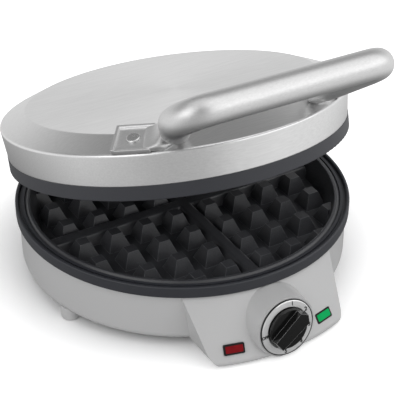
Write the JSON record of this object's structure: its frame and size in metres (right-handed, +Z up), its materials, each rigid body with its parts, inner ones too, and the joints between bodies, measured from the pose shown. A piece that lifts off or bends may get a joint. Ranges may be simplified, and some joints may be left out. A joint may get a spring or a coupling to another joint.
{
  "type": "belgian waffle maker",
  "caption": "Round countertop waffle maker with a hinged steel lid, bow handle, quartered deep-pocket grids and a front dial with two indicator windows.",
  "frame": {"origin": "middle of the outline at rest, on the surface the feet stand on", "axes": "+Z up, -Y towards the control panel and the handle, +Y towards the hinge, X along the hinge pin"},
  "size_m": [0.2433, 0.3127, 0.2015],
  "materials": {
    "base_plastic": "light grey moulded plastic, satin",
    "dark_resin": "dark grey heat-resistant resin",
    "plate_coating": "cast aluminium with black non-stick coating",
    "lid_steel": "brushed stainless steel",
    "handle_metal": "satin aluminium",
    "sheet_steel": "aluminised sheet steel",
    "element_sheath": "oxidised steel sheath",
    "screw_steel": "zinc-plated steel",
    "bezel_chrome": "bright chrome",
    "knob_black": "black glossy plastic",
    "red_lens": "clear red plastic",
    "green_lens": "clear green plastic",
    "window_black": "black plastic",
    "lamp_glass": "neon lamp glass",
    "phenolic": "brown phenolic",
    "nut_brass": "brass",
    "wire_silicone": "silicone sleeve",
    "black_rubber": "black rubber"
  },
  "bodies": {
    "base": {"base_housing": "base_plastic", "feet": "base_plastic", "bottom_cover": "base_plastic", "lower_collar": "dark_resin", "lower_grid_plate": "plate_coating", "lower_heat_shield": "sheet_steel", "lower_element_clips": "sheet_steel", "lower_heating_element": "element_sheath", "bottom_cover_screws": "screw_steel", "collar_screws": "screw_steel", "lower_plate_screws": "screw_steel", "hinge_pin": "screw_steel", "hinge_clip": "screw_steel", "dial_bezel": "bezel_chrome", "red_indicator_lens": "red_lens", "green_indicator_lens": "green_lens", "indicator_frames": "window_black", "indicator_lamps": "lamp_glass", "thermostat": "phenolic", "terminal_block": "phenolic", "thermostat_nut": "nut_brass", "thermal_fuse": "nut_brass", "lead_wires": "wire_silicone", "front_pads": "black_rubber", "cord_gland": "black_rubber"},
    "lid": {"lid_cover": "lid_steel", "lid_studs": "sheet_steel", "upper_collar": "dark_resin", "upper_grid_plate": "plate_coating", "upper_heating_element": "element_sheath", "upper_element_clips": "sheet_steel", "upper_heat_shield": "sheet_steel", "upper_plate_screws": "screw_steel", "lid_hinge_arm": "dark_resin", "lid_hinge_screws": "screw_steel", "handle": "handle_metal", "handle_rivets": "handle_metal"},
    "dial": {"dial_knob": "knob_black", "thermostat_shaft": "screw_steel"}
  },
  "joints": [
    {"name": "lid_hinge", "type": "hinge", "parent": "base", "child": "lid", "pos_m": [0, 0.1446, 0.053], "axis": [-1, 0, 0], "range_deg": [-14.3, 80.7]},
    {"name": "dial_turn", "type": "hinge", "parent": "base", "child": "dial", "pos_m": [-0.002, -0.1474, 0.022], "axis": [0, -0.9903, 0.1392], "range_deg": [-132, 150]}
  ]
}
